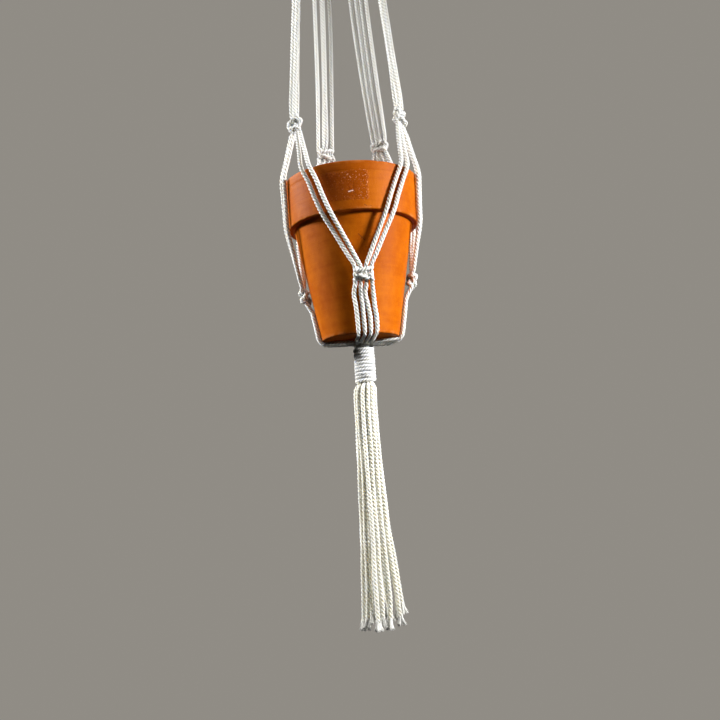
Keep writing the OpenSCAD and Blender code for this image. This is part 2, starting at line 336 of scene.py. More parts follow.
def terracotta_material():
    """Fired clay: mottled orange, turning lines, worn edges and a darker patch on the collar."""
    g = Graph("terracotta")
    place = g.node("TexCoord").outputs["Object"]
    clouds = g.noise(place, 22, 4.0)
    mottle = g.noise(place, 140, 4.0, 0.6)
    grain = g.noise(place, 1100, 3.0, 0.6)
    lines = g.noise(place, 1.0, 3.0, 0.6, stretch=(10, 10, 420))
    wear = g.value("wear")
    patch = g.value("patch")

    tone = g.math("MULTIPLY", clouds, 0.45)
    tone = g.math("ADD", tone, g.math("MULTIPLY", mottle, 0.25))
    tone = g.math("ADD", tone, g.math("MULTIPLY", lines, 0.15))
    base = g.colour(g.step(tone, 0.30, 0.56), CLAY_DARK, CLAY_LIGHT)
    speckle = g.step(grain, 0.62, 0.75)
    base = g.colour(g.math("MULTIPLY", speckle, 0.35), base, CLAY_SPECKLE)
    pits = g.step(grain, 0.36, 0.26)
    base = g.colour(g.math("MULTIPLY", pits, 0.4), base, CLAY_PIT)

    rubbed = g.math("MULTIPLY", wear, g.step(mottle, 0.42, 0.62))
    base = g.colour(g.math("MULTIPLY", rubbed, 0.3), base, CLAY_RUBBED)

    shreds = g.noise(place, 1.0, 4.0, 0.7, stretch=(420, 420, 300))
    crumbs = g.noise(place, 820, 2.0, 0.5)
    ragged = g.math("ADD", patch, g.math("MULTIPLY", g.math("SUBTRACT", shreds, 0.5), 2.0))
    ragged = g.math("ADD", ragged, g.math("MULTIPLY", g.math("SUBTRACT", mottle, 0.5), 1.6))
    film = g.math("MULTIPLY", g.step(ragged, 0.45, 0.95), g.step(patch, 0.0, 0.5))
    base = g.colour(g.math("MULTIPLY", film, 0.55), base, CLAY_PATCH)
    edge = g.value("patch_edge")
    flecks = g.math("MULTIPLY", g.step(crumbs, 0.62, 0.68), edge)
    base = g.colour(g.math("MULTIPLY", flecks, 0.75), base, CLAY_FLECK)

    for start, end, width in MARKS:
        mark = scratch(g, place, on_pot(*start), on_pot(*end), width * MM)
        base = g.colour(g.math("MULTIPLY", mark, 0.7), base, CLAY_MARK)
    start, end, width = FLAKE
    flake = scratch(g, place, on_pot(*start), on_pot(*end), width * MM)
    base = g.colour(flake, base, CLAY_FLAKE)

    dull = g.math("ADD", 0.40, g.math("MULTIPLY", mottle, 0.16))
    dull = g.math("SUBTRACT", dull, g.math("MULTIPLY", film, 0.16))
    g.set(Base_Color=base, Roughness=dull, Specular_IOR_Level=0.05)
    film_height = g.math("ADD", film, g.math("MULTIPLY", flecks, 1.5))
    g.bump(
        (lines, 0.0009, 0.05), (mottle, 0.0009, 0.2),
        (grain, 0.0004, 0.4), (film_height, 0.0003, 0.6),
    )
    return g.material


WOOD_DARK = (0.40, 0.215, 0.095, 1)
WOOD_LIGHT = (0.66, 0.43, 0.22, 1)
WOOD_PORE = (0.20, 0.09, 0.035, 1)


def wood_material():
    """Oiled beech: straight grain across the ring, short dark pores and a satin finish."""
    g = Graph("ring_wood")
    place = g.node("TexCoord").outputs["Object"]
    grain = g.noise(place, 1.0, 4.0, 0.6, stretch=(14, 260, 260))
    figure = g.noise(place, 1.0, 2.0, 0.5, stretch=(5, 70, 70))
    pores = g.noise(place, 1.0, 2.0, 0.5, stretch=(230, 1900, 1900))
    tone = g.math("ADD", g.math("MULTIPLY", grain, 0.6), g.math("MULTIPLY", figure, 0.4))
    base = g.colour(g.step(tone, 0.34, 0.66), WOOD_DARK, WOOD_LIGHT)
    pits = g.step(pores, 0.66, 0.74)
    base = g.colour(g.math("MULTIPLY", pits, 0.6), base, WOOD_PORE)
    g.set(Base_Color=base, Roughness=g.math("ADD", 0.36, g.math("MULTIPLY", grain, 0.2)))
    g.set(Coat_Weight=0.15, Coat_Roughness=0.3)
    g.bump((grain, 0.0004, 0.3), (pits, 0.0002, 0.5))
    return g.material


# ---------------------------------------------------------------- meshes


def make_mesh(name, corners, faces, material):
    """A smooth object from corners in millimetres and arrays of 3- or 4-sided faces."""
    mesh = bpy.data.meshes.new(name)
    corners = np.asarray(corners, float) * MM
    loops = np.concatenate([np.asarray(f).ravel() for f in faces])
    sizes = np.concatenate([np.full(len(f), np.asarray(f).shape[1]) for f in faces])
    starts = np.concatenate([[0], np.cumsum(sizes)[:-1]])
    mesh.vertices.add(len(corners))
    mesh.vertices.foreach_set("co", corners.ravel())
    mesh.loops.add(len(loops))
    mesh.loops.foreach_set("vertex_index", loops.astype(np.int32))
    mesh.polygons.add(len(sizes))
    mesh.polygons.foreach_set("loop_start", starts.astype(np.int32))
    mesh.polygons.foreach_set("use_smooth", np.ones(len(sizes), bool))
    mesh.update(calc_edges=True)
    mesh.materials.append(material)
    made = bpy.data.objects.new(name, mesh)
    bpy.context.scene.collection.objects.link(made)
    return made


def add_values(made, name, values):
    """Stores a value at each corner."""
    layer = made.data.attributes.new(name, "FLOAT", "POINT")
    layer.data.foreach_set("value", np.asarray(values, np.float32))


def add_uv(made, name, values):
    """Stores a UV pair at each corner of each face."""
    layer = made.data.uv_layers.new(name=name)
    layer.uv.foreach_set("vector", np.asarray(values, np.float32).ravel())


# ---------------------------------------------------------------- cords


def curve_through(controls):
    """A dense centripetal curve through (x, y, z, radius) rows, and where each row lies on it."""
    c = np.asarray(controls, float)
    rows = np.vstack([2 * c[0] - c[1], c, 2 * c[-1] - c[-2]])
    parts, places, count = [], [], 0
    for i in range(len(c) - 1):
        p = rows[i:i + 4]
        gaps = np.sqrt(np.linalg.norm(np.diff(p[:, :3], axis=0), axis=1))
        t0, t1, t2, t3 = np.concatenate([[0], np.cumsum(gaps)])
        pieces = max(4, int(gaps[1] ** 2 / 0.25))
        t = np.linspace(t1, t2, pieces, endpoint=False)[:, None]
        a1 = ((t1 - t) * p[0] + (t - t0) * p[1]) / (t1 - t0)
        a2 = ((t2 - t) * p[1] + (t - t1) * p[2]) / (t2 - t1)
        a3 = ((t3 - t) * p[2] + (t - t2) * p[3]) / (t3 - t2)
        b1 = ((t2 - t) * a1 + (t - t0) * a2) / (t2 - t0)
        b2 = ((t3 - t) * a2 + (t - t1) * a3) / (t3 - t1)
        parts.append(((t2 - t) * b1 + (t - t1) * b2) / (t2 - t1))
        places.append(count)
        count += pieces
    parts.append(c[-1:])
    places.append(count)
    return np.vstack(parts), places


def carried_frames(points):
    """Direction along the cord and two directions across it at each point, without twist."""
    ahead = np.gradient(points, axis=0)
    ahead /= np.linalg.norm(ahead, axis=1)[:, None]
    across = np.empty_like(points)
    side = np.cross(ahead[0], (0.3, 0.5, 0.81))
    for i, t in enumerate(ahead):
        side = side - t * (side @ t)
        side = side / np.linalg.norm(side)
        across[i] = side
    return ahead, across, np.cross(ahead, across)


def ply_section():
    """Angles round a cord and its radius at each, for three plies pressed together."""
    angle = np.arange(SIDES) * 2 * math.pi / SIDES
    lobe = angle % (2 * math.pi / 3) - math.pi / 3
    inner = PLY_OFFSET * np.cos(lobe)
    return angle, inner + np.sqrt(PLY_R ** 2 - (PLY_OFFSET * np.sin(lobe)) ** 2)


class Rope:
    """A twisted cord through control rows. Its stretches between tags can be meshed apart."""

    def __init__(self, controls, tags, tone=0.5, lay=LAY):
        curve, places = curve_through(controls)
        runs = np.linalg.norm(np.diff(curve[:, :3], axis=0), axis=1)
        arc = np.concatenate([[0], np.cumsum(runs)])
        cuts = [0] + [i for i in range(1, len(tags)) if tags[i] != tags[i - 1]] + [len(tags)]
        stations, self.stretches, count = [], [], 0
        for a, b in zip(cuts, cuts[1:]):
            low, high = arc[places[a]], arc[places[b]]
            steps = max(2, round((high - low) / STEP))
            stations.append(np.linspace(low, high, steps, endpoint=False))
            self.stretches.append((tags[a], count, count + steps + 1))
            count += steps
        self.along = np.concatenate(stations + [[arc[places[cuts[-1]]]]])
        self.points = np.stack([np.interp(self.along, arc, curve[:, k]) for k in range(3)], axis=1)
        self.radii = np.interp(self.along, arc, curve[:, 3])
        self.tone = tone
        ahead, across, over = carried_frames(self.points)
        angle, section = ply_section()
        turned = angle[None, :] - 2 * math.pi * self.along[:, None] / lay
        reach = self.radii[:, None] * section[None, :]
        rings = across[:, None, :] * np.cos(turned)[..., None]
        rings = rings + over[:, None, :] * np.sin(turned)[..., None]
        self.rings = self.points[:, None, :] + rings * reach[..., None]
        self.turned = turned
        # How far down the groove between two plies each corner lies, 0 to 1: where the cotton
        # paints shade
        self.groove_shade = (1 - section) / (1 - section.min())

    def skin(self, low, high):
        """The closed skin of the rings from low to high, as corners, faces, UVs and values."""
        rings = self.rings[low:high]
        n = len(rings)
        row, k = np.meshgrid(np.arange(n - 1), np.arange(SIDES), indexing="ij")
        nxt = (k + 1) % SIDES
        here = row * SIDES
        ahead = here + SIDES
        quads = np.stack([here + k, here + nxt, ahead + nxt, ahead + k], -1)
        turn = self.turned[low:high]
        step = 2 * math.pi / SIDES
        u = np.stack([turn[:-1], turn[:-1] + step, turn[1:] + step, turn[1:]], -1) * CORD_R * MM
        s = self.along[low:high] * MM
        v = np.stack([s[:-1], s[:-1], s[1:], s[1:]], -1)[:, None, :].repeat(SIDES, axis=1)
        uv = np.stack([u, v], -1).reshape(-1, 2)
        caps = []
        corners = [rings.reshape(-1, 3)]
        base = n * SIDES
        k = np.arange(SIDES)
        nxt = (k + 1) % SIDES
        for end, centre in ((0, low), (-1, high - 1)):
            corners.append(np.vstack([rings[end], self.points[centre]]))
            pair = (nxt, k) if end == 0 else (k, nxt)
            caps.append(np.stack([base + SIDES + 0 * k, base + pair[0], base + pair[1]], -1))
            base += SIDES + 1
        groove_shade = np.concatenate([np.tile(self.groove_shade, n), np.ones(2 * SIDES + 2)])
        corners = np.vstack(corners)
        return {
            "corners": corners, "quads": quads.reshape(-1, 4), "caps": np.vstack(caps),
            "uv": uv, "groove_shade": groove_shade, "tone": np.full(len(corners), self.tone),
        }


def build_cords(name, skins, material):
    """One object from the skins of several stretches."""
    offsets = np.concatenate([[0], np.cumsum([len(s["corners"]) for s in skins])[:-1]])
    quads = np.vstack([s["quads"] + o for s, o in zip(skins, offsets)])
    caps = np.vstack([s["caps"] + o for s, o in zip(skins, offsets)])
    made = make_mesh(name, np.vstack([s["corners"] for s in skins]), [quads, caps], material)
    uv = np.vstack([s["uv"] for s in skins] + [np.zeros((caps.size, 2))])
    add_uv(made, "along", uv)
    for value in ("groove_shade", "tone"):
        add_values(made, value, np.concatenate([s[value] for s in skins]))
    return made


# ---------------------------------------------------------------- routes of the long cords


class Route:
    """Control rows of a cord, with the tag of each segment between them."""

    def __init__(self):
        self.rows = []
        self.tags = []

    def go(self, tag, point, radius):
        """Runs on to a point, in the node named by tag."""
        if self.rows:
            self.tags.append(tag)
        self.rows.append([*point, radius])

    def reverse(self):
        back = Route()
        back.rows = self.rows[::-1]
        back.tags = self.tags[::-1]
        return back


def bezier(a, b, c, d, t):
    return a * (1 - t) ** 3 + b * 3 * t * (1 - t) ** 2 + c * 3 * t * t * (1 - t) + d * t ** 3


SIDEWAYS = np.array([1.0, 0.0, 0.0])


def bundle_slot(az, j, z):
    """Where cord j of four lies in a wrap: three in the outer ring and one in the core."""
    if j == 1:
        return polar(CORE_SLOT_R, az, z)
    return polar(OUTER_SLOT_R, az + {0: -30, 2: 0, 3: 30}[j], z)


def loop_way(i):
    """The direction from the ring's centre to long cord i's loop on it."""
    b = math.radians((i - 3.5) * LOOP_PITCH)
    return np.array([math.sin(b), 0, -math.cos(b)])


def loop_leg(i, side, t):
    """From the side of the ring's bar to the top wrap, as t goes from 0 to 1."""
    down = loop_way(i)
    start = np.array([0, side * LOOP_R, RING_Z]) + RING_R * down
    slot = bundle_slot(-45 if i < 4 else 45, i % 4, TOP_WRAP_Z)
    end = np.array([slot[0], -side * slot[1], slot[2]])
    return bezier(start, start + 6 * down, end + np.array([0, 0, 9]), end, t)


def add_loop_leg(route, i, side):
    """Down from the ring's bar, thinner towards the wrap."""
    for t in (0.2, 0.4, 0.6, 0.8, 1.0):
        radius = mix(CORD_R, TIGHT_R, t ** 2.5)
        route.go(f"ring_loop_{i + 1}", loop_leg(i, side, t), radius)


# Stations of an arm from just under its wrap (1) down to its knot (0), and the
# one above which its cords close up
ARM_STATIONS = (0.972, 0.91, 0.87, 0.82, 0.68, 0.52, 0.36, 0.22, 0.1, 0)
ARM_CLOSING = 0.82
ARM_TOP_R = 6.2
ARM_TOP_PITCH = 2.8
BUNDLE_MIDDLE_Z = -92


def add_arm(route, a, j):
    """Through the top wrap and down to the arm's knot."""
    knot_top = RIM_Z + UPPER_KNOT_UP[a] + KNOT_H / 2
    mouth = bundle_slot(ARM_TOP_AZ[a], j, ARM_TOP_Z)
    route.go("top_bundle", bundle_slot(ARM_TOP_AZ[a], j, BUNDLE_MIDDLE_Z), TIGHT_R)
    route.go("top_bundle", mouth, TIGHT_R)
    tag = "arm_" + ARM_NAMES[a]
    for t in ARM_STATIONS:
        az = mix(ARM_AZ[a], ARM_TOP_AZ[a], t)
        swell = 6.75 * t * (1 - t) ** 2
        squeeze = max(0, (t - ARM_CLOSING) / (1 - ARM_CLOSING))
        across = ARM_ACROSS[a][j] * mix(1, ARM_SLACK[a], swell)
        outwards = ARM_OUT[a][j] * (1 - ARM_ROW[a] * squeeze ** 2.7)
        r = mix(UPPER_KNOT_R, ARM_TOP_R, t) + outwards
        point = polar(r, az, mix(knot_top, ARM_TOP_Z, t))
        point = point + tangent(az) * mix(across, (j - 1.5) * ARM_TOP_PITCH, squeeze)
        point = point + SIDEWAYS * ARM_BOW[a] * swell
        drift = np.array([*rng.uniform(-0.3, 0.3, 2), 0]) * (0 < t < ARM_CLOSING)
        route.go(tag, point + drift, mix(CORD_R, TIGHT_R, squeeze) if t else KNOT_FACE_R)


# One cord round two others, in a half knot, from the left. x is along the knot's
# width, y outwards and z along the knot.
HALF_HITCH = [
    (-6.9, -0.9, 1.4), (-5.6, 0.7, -0.8), (-3.2, 2.8, -1.0), (0, 3.25, -0.1),
    (3.2, 2.8, 0.9), (4.9, 0.2, 1.5), (5.7, -2.5, 0.5), (7.0, -2.2, -1.6),
]
HALF_UP = 3.0
FILLER_X = 1.6


def knot_rows(j):
    """The way of cord j of four through a square knot, between its top and bottom faces."""
    if j in (1, 2):
        x = FILLER_X * (2 * j - 3)
        return [(x, 0, z) for z in (4.2, 1.5, -1.5, -4.2)]
    side = 1 if j == 0 else -1
    first = [(x * side, y * side, z + HALF_UP) for x, y, z in HALF_HITCH]
    second = [(-x * side, y * side, z - HALF_UP) for x, y, z in HALF_HITCH]
    return first + second


def add_knot(route, tag, middle, across, out, axis, j):
    """Through a knot and out of its lower face, side by side with the others."""
    for x, y, z in knot_rows(j):
        route.go(tag, middle + across * x + out * y + axis * z, KNOT_CORD_R)
    face = middle + across * (j - 1.5) * KNOT_PITCH - axis * KNOT_H / 2
    route.go(tag, face, KNOT_FACE_R)


# How far each cord under the foot hangs below its neighbours, by lower knot
UNDER_SAG = [(0, 0.3, 0, 0.2), (0, 0.4, 1.2, 2.2), (0.2, 0, 0.4, 0), (0.4, 0.2, 0.1, 0)]
# How far each of the four cords under a lower knot draws in, in degrees
UNDER_CLOSE = (1.1, 0.7, -3.0, -2.6)
# Azimuths of the first and last lower knot's cords where they gather, and the
# angle between the cords of one knot there
UNDER_END_AZ = (5, 275)
UNDER_END_PITCH = 22.5


def slope(az):
    """The direction up the pot's body at azimuth az."""
    tilt = math.radians(BODY_TILT)
    return polar(math.sin(tilt), az, math.cos(tilt))


def lower_knot_middle(k):
    """The middle of lower knot k, just clear of the clay."""
    off = (CLEAR + KNOT_T / 2) / math.cos(math.radians(BODY_TILT))
    return polar(body_r(LOWER_KNOT_UP[k]) + off, LOWER_AZ[k], FOOT_Z + LOWER_KNOT_UP[k])


def pair_lag(a, right):
    """How far a pair lags behind an even turn round the pot, from the rim down, in degrees."""
    if a == 0 and right:
        return FRONT_LEFT_LAG
    if a == 1 and not right:
        return FRONT_RIGHT_LAG
    return OTHER_LAG


# Heights over the foot at which a pair lies on the pot, from the rim down
CRADLE_UP = (POT_H + 1, POT_H - 12, POT_H - 27, BODY_H - 0.5)


def add_cradle(route, a, right, j):
    """From an upper knot over the rim to a lower knot. j is 0 or 1."""
    k = a if right else (a + 3) % 4
    knot_az = LOWER_AZ[k] - (360 if a == 0 and not right else 0)
    knot_low = UPPER_KNOT_UP[a] + POT_H - KNOT_H / 2
    span = knot_low - LOWER_KNOT_UP[k]
    spread = PAIR_SPREAD if k % 2 == 0 else SIDE_PAIR_SPREAD
    tag = f"cradle_{ARM_NAMES[a]}_{'right' if right else 'left'}"
    rows = []
    for up, lag in zip(CRADLE_UP, pair_lag(a, right)):
        az = mix(ARM_AZ[a], knot_az, (knot_low - up) / span) + (-lag if right else lag)
        wide = mix(LOW_SPREAD, spread, (up - LOWER_KNOT_UP[k]) / (POT_H - LOWER_KNOT_UP[k]))
        on_clay = polar(collar_r(min(up, POT_H)) + CORD_R + CLEAR, az, FOOT_Z + up)
        rows.append(on_clay + tangent(az) * (2 * j - 1) * wide)
    start = np.array(route.rows[-1][:3])
    end = lower_knot_middle(k) + slope(LOWER_AZ[k]) * KNOT_H / 2
    end = end + tangent(LOWER_AZ[k]) * (j - 1.5 if right else j + 0.5) * KNOT_PITCH
    for point in (mix(start, rows[0], 0.25), mix(start, rows[0], 0.6), *rows):
        route.go(tag, point, CORD_R)
    route.go(tag, mix(rows[3], end, 0.4), CORD_R)
    route.go(tag, mix(rows[3], end, 0.8), CORD_R)
    route.go(tag, end, KNOT_TOP_R)
    return k


def add_under(route, k, j):
    """From a lower knot, under the foot and into the bottom wrap."""
    low_az = LOWER_AZ[k] + (j - 1.5) * UNDER_PITCH[k] + UNDER_DRIFT[k]
    gap = CORD_R + CLEAR
    off = gap / math.cos(math.radians(BODY_TILT))
    bend_r = FOOT_BEVEL + CLEAR + PRESSED_R
    tag = "under_cords_" + LOWER_NAMES[k]
    below_knot = LOWER_KNOT_UP[k] - KNOT_H / 2 - 9
    for up, back in ((below_knot, 1.0), (22, 0.6), (12, 0.2), (2, 0)):
        az = low_az - back * (0.8 * UNDER_DRIFT[k] - UNDER_CLOSE[j])
        drift = tangent(az) * rng.uniform(-0.3, 0.3)
        route.go(tag, polar(body_r(up) + off, az, FOOT_Z + up) + drift, CORD_R if up > 5 else 1.9)
    for a in np.radians((30, 60, 90)):
        reach = FOOT_R - FOOT_BEVEL + bend_r * math.cos(a)
        turn = polar(reach, low_az, FOOT_Z + FOOT_BEVEL - bend_r * math.sin(a))
        route.go(tag, turn, PRESSED_R)
    middle_az = mix(*UNDER_END_AZ, k / 3)
    end_az = middle_az + (j - 1.5) * UNDER_END_PITCH
    end = polar(GATHER_R, end_az, FOOT_Z - CLEAR - PRESSED_R - 0.9)
    end = end + SIDEWAYS * GATHER_X
    sag = UNDER_SAG[k][j]
    route.go(tag, mix(turn, end, 0.45) - (0, 0, sag), PRESSED_R + 0.1)
    route.go(tag, end - (0, 0, 0.6 * sag), PRESSED_R)
    tag = "bottom_bundle"
    flat = (bundle_slot(middle_az, j, 0) + SIDEWAYS * GATHER_X) * (1, 1, 0)
    low = flat + (0, 0, end[2])
    rise = 0.5 if j == 1 else 0.0
    route.go(tag, mix(end, low, 0.4) + (0, 0, rise - 0.3 - 0.5 * sag), 1.6)
    route.go(tag, mix(end, low, 0.8) + (0, 0, rise - 1.3), 1.45)
    route.go(tag, flat + (0, 0, BOTTOM_WRAP_Z + 0.6), 1.4)
    route.go(tag, flat + (0, 0, BOTTOM_WRAP_Z - 8), TIGHT_R)
    route.go(tag, flat + (0, 0, TASSEL_Z + 11), TIGHT_R)


def add_strand(route, i, side):
    """Half of long cord i: from the ring, down one arm, to the inside of the bottom wrap."""
    add_loop_leg(route, i, side)
    if side < 0:
        a, j = (0 if i < 4 else 1), i % 4
    else:
        a, j = (3, 3 - i) if i < 4 else (2, 7 - i)
    add_arm(route, a, j)
    az = ARM_AZ[a]
    tag = "upper_knot_" + ARM_NAMES[a]
    middle = polar(UPPER_KNOT_R, az, RIM_Z + UPPER_KNOT_UP[a])
    add_knot(route, tag, middle, tangent(az), polar(1, az, 0), np.array([0, 0, 1]), j)
    right = j > 1
    k = add_cradle(route, a, right, j % 2)
    slot = j % 2 + (0 if right else 2)
    axis = slope(LOWER_AZ[k])
    across = tangent(LOWER_AZ[k])
    out = np.cross(across, axis)
    tag = "lower_knot_" + LOWER_NAMES[k]
    add_knot(route, tag, lower_knot_middle(k), across, out, axis, slot)
    add_under(route, k, slot)


def long_cord(i):
    """Long cord i: up one strand, over the ring's bar and down the other."""
    front, back = Route(), Route()
    add_strand(front, i, -1)
    add_strand(back, i, 1)
    whole = front.reverse()
    down = loop_way(i)
    middle = np.array([0, 0, RING_Z]) + RING_R * down
    tag = f"ring_loop_{i + 1}"
    for a in np.radians((-90, -60, -30, 0, 30, 60, 90)):
        fold = middle + LOOP_R * (np.array([0, math.sin(a), 0]) - down * math.cos(a))
        whole.go(tag, fold, CORD_R)
    whole.go(tag, back.rows[0][:3], back.rows[0][3])
    whole.rows += back.rows[1:]
    whole.tags += back.tags
    return Rope(whole.rows, whole.tags, tone=rng.random())


def make_long_cords(material):
    """The eight long cords, with one object for each CAD node that they run through."""
    skins = {}
    for i in range(8):
        rope = long_cord(i)
        for tag, low, high in rope.stretches:
            skins.setdefault(tag, []).append(rope.skin(low, high))
    for tag, found in skins.items():
        made = build_cords("cord_" + tag, found, material)
        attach(made, "hanger")
        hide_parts(tag)


# ---------------------------------------------------------------- wraps

WRAP_CORD_R = 1.7
WRAP_LAY = 7.5
WRAP_STEPS_PER_TURN = 24
# The tucked end of a wrapping cord: (radius, degrees past its last turn, depth
# inside the wrap's face, cord radius)
TUCK = [(4.6, 45, 1.8, 1.4), (2.8, 75, 6, 1.2)]


def make_wrap(node, low, high, turns, start_az, x, material):
    """A cord wound round the gathered strands, with both its ends tucked inside."""
    cord_r = WRAP_CORD_R
    r = WRAP_R - cord_r
    bottom = low + cord_r
    pitch = (high - low - 2 * cord_r) / (turns - 0.3)
    route = Route()
    middle = SIDEWAYS * x
    count = round(turns * WRAP_STEPS_PER_TURN)
    for tuck_r, past, deep, radius in reversed(TUCK):
        route.go(node, middle + polar(tuck_r, start_az - past, bottom + deep), radius)
    for n in range(count + 1):
        turn = n / WRAP_STEPS_PER_TURN
        settle = smooth(0, 0.35, turn) * smooth(turns, turns - 0.35, turn)
        wobble = 0.13 * math.sin(n * 0.61 + start_az) + 0.11 * math.sin(n * 0.23)
        climb = pitch * max(0.0, min(turn - 0.15, turns - 0.3))
        climb += 0.22 * math.sin(n * 0.37) + 0.16 * math.sin(n * 0.141 + 2)
        z = min(max(bottom + climb, bottom), high - cord_r)
        tuck = 1.1 * (1 - settle)
        thick = cord_r + 0.07 * math.sin(n * 0.31)
        spot = polar(r - tuck + wobble, start_az + turn * 360, z)
        route.go(node, middle + spot, mix(1.5, thick, settle))
    last = start_az + turns * 360
    for tuck_r, past, deep, radius in TUCK:
        route.go(node, middle + polar(tuck_r, last + past, high - cord_r - deep), radius)
    rope = Rope(route.rows, route.tags, tone=0.75, lay=WRAP_LAY)
    skins = [rope.skin(low, high) for _, low, high in rope.stretches]
    made = build_cords("cord_" + node, skins, material)
    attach(made, "hanger")
    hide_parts(node)


# ---------------------------------------------------------------- tassel

# Azimuth at the tip, radius at the tip and length of each strand
OUTER_STRANDS = [
    [-58, 16, 200], [-34, 17, 199], [-6, 17.5, 200], [12, 14.5, 198],
    [34, 16.5, 200], [62, 19.5, 198], [84, 20.5, 190], [112, 18, 196],
    [148, 16, 195], [180, 15, 193], [212, 14.5, 197], [250, 14.5, 199],
]
INNER_STRANDS = [[-10, 8, 190], [60, 9.5, 196], [170, 8, 192], [250, 8, 197]]
STRAND_STATIONS = (0.065, 0.16, 0.27, 0.4, 0.52, 0.64, 0.76, 0.88)
STRAND_TOP = TASSEL_Z - 3
# Radius at which the outer and the inner strands hang just under the wrap
OUTER_NECK_R = 8.4
INNER_NECK_R = 3.4
# The frayed end: its reach past the twisted cord, fibres to a ply, and corners
# round and rings along a fibre
FRAY = 7.0
FIBRES = 24
FIBRE_SIDES = 4
FIBRE_ROWS = 7
FIBRE_R = (0.30, 0.42)
# How far a ply's fibres lean outwards, at least and at most
FLARE = (1.3, 2.7)


def strand_controls(i):
    """Control rows of a tassel strand, from inside the wrap to where it starts to fray."""
    outer = i < 12
    tip_az, tip_r, length = OUTER_STRANDS[i] if outer else INNER_STRANDS[i - 12]
    slot_r = OUTER_SLOT_R if outer else CORE_SLOT_R
    neck_r = OUTER_NECK_R if outer else INNER_NECK_R
    top_az = i * 30 - 75 if outer else (i - 12) * 90 - 15
    wide = 5.3 if outer else 2.2
    middle = SIDEWAYS * GATHER_X
    rows = [
        [*(middle + polar(slot_r, top_az, TASSEL_Z + 10.4)), TIGHT_R],
        [*(middle + polar(slot_r, top_az, TASSEL_Z + 4)), TIGHT_R],
        [*(middle + polar(wide, top_az, TASSEL_Z + 0.6)), TIGHT_R + 0.2],
        [*(0.6 * middle + polar(mix(wide, neck_r, 0.8), top_az, TASSEL_Z - 3.6)), 1.85],
        [*(0.3 * middle + polar(neck_r, top_az, TASSEL_Z - 8.5)), CORD_R],
    ]
    end = 1 - FRAY * 0.9 / length
    for t in (*STRAND_STATIONS, end):
        r = mix(neck_r, tip_r, t ** 2.2)
        point = polar(r, mix(top_az, tip_az, t), STRAND_TOP - length * t)
        drift = rng.uniform(-1, 1, 2) * mix(0.15, 1.1, t)
        rows.append([*(point + [*drift, 0]), CORD_R])
    return rows, length


def fray_skins(centre, ahead, across, over):
    """Loose fibres of the three plies that open out under the end of a strand."""
    sides = FIBRE_SIDES
    rows = FIBRE_ROWS
    corners, quads, caps = [], [], []
    base = 0
    lean = rng.uniform(0, 2 * math.pi)
    for ply in range(3):
        a = lean + ply * 2 * math.pi / 3
        out = across * math.cos(a) + over * math.sin(a)
        flare = rng.uniform(*FLARE)
        for _ in range(FIBRES):
            b = rng.uniform(0, 2 * math.pi)
            spot = (across * math.cos(b) + over * math.sin(b)) * math.sqrt(rng.random())
            start = centre - ahead * 2.5 + out * 0.85 + spot * 0.85
            reach = FRAY * rng.uniform(0.72, 1.06)
            end = centre + ahead * reach * (1 - 0.1 * flare / FLARE[1])
            end = end + out * (0.9 + flare) + spot * 1.5
            bend = centre + ahead * reach * 0.45 + out * 0.9 + spot * rng.uniform(0.7, 1.2)
            thick = rng.uniform(*FIBRE_R)
            t = np.linspace(0, 1, rows)[:, None]
            line = start * (1 - t) ** 2 + 2 * bend * t * (1 - t) + end * t * t
            k = np.arange(sides) * 2 * math.pi / sides
            ring = across[None] * np.cos(k)[:, None] + over[None] * np.sin(k)[:, None]
            tube = line[:, None, :] + ring[None] * (thick * (1 - 0.25 * t))[:, None]
            corners.append(tube.reshape(-1, 3))
            i, m = np.meshgrid(np.arange(rows - 1), np.arange(sides), indexing="ij")
            nxt = (m + 1) % sides
            here = base + i * sides
            beyond = here + sides
            around = np.stack([here + m, here + nxt, beyond + nxt, beyond + m], -1)
            quads.append(around.reshape(-1, 4))
            last = base + (rows - 1) * sides
            caps.append([base + 3, base + 2, base + 1, base])
            caps.append([last, last + 1, last + 2, last + 3])
            base += rows * sides
    return np.vstack(corners), np.vstack(quads + [np.array(caps)])


def make_strand(i, material, loose):
    """A tassel strand of one material and its frayed end of another."""
    rows, length = strand_controls(i)
    name = f"tassel_strand_{i + 1}"
    rope = Rope(rows, [name] * (len(rows) - 1), tone=rng.random())
    made = build_cords("cord_" + name, [rope.skin(0, len(rope.points))], material)
    ahead = unit(rope.points[-1] - rope.points[-4])
    across = unit(np.cross(ahead, (0.2, 0.9, 0.1)))
    corners, faces = fray_skins(rope.points[-1], ahead, across, np.cross(ahead, across))
    fray = make_mesh(f"frayed_end_{i + 1}", corners, [faces], loose)
    add_values(fray, "groove_shade", np.zeros(len(corners)))
    add_values(fray, "tone", np.full(len(corners), 0.7))
    uv = np.zeros((faces.size, 2))
    uv[:, 0] = np.repeat(np.arange(len(faces)), 4) * 0.001
    add_uv(fray, "along", uv)
    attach(fray, "tassel")
    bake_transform(made)
    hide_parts(name)


# ---------------------------------------------------------------- pot and ring


def rounded_outline(corners, longest):
    """A closed outline through (r, z, fillet) corners, with no edge longer than longest."""
    points = []
    count = len(corners)
    for i in range(count):
        before, here, after = (np.array(corners[(i + d) % count][:2], float) for d in (-1, 0, 1))
        fillet = corners[i][2]
        a = here + unit(before - here) * fillet
        b = here + unit(after - here) * fillet
        for t in np.linspace(0, 1, 5):
            points.append((1 - t) ** 2 * a + 2 * t * (1 - t) * here + t * t * b)
    fine = []
    for a, b in zip(points, points[1:] + points[:1]):
        steps = max(1, math.ceil(np.linalg.norm(b - a) / longest))
        fine += [mix(a, b, t) for t in np.arange(steps) / steps]
    return np.array(fine)


# How far below the rim the collar steps out a little
LIP_H = 7.6
POT_SEGMENTS = 240
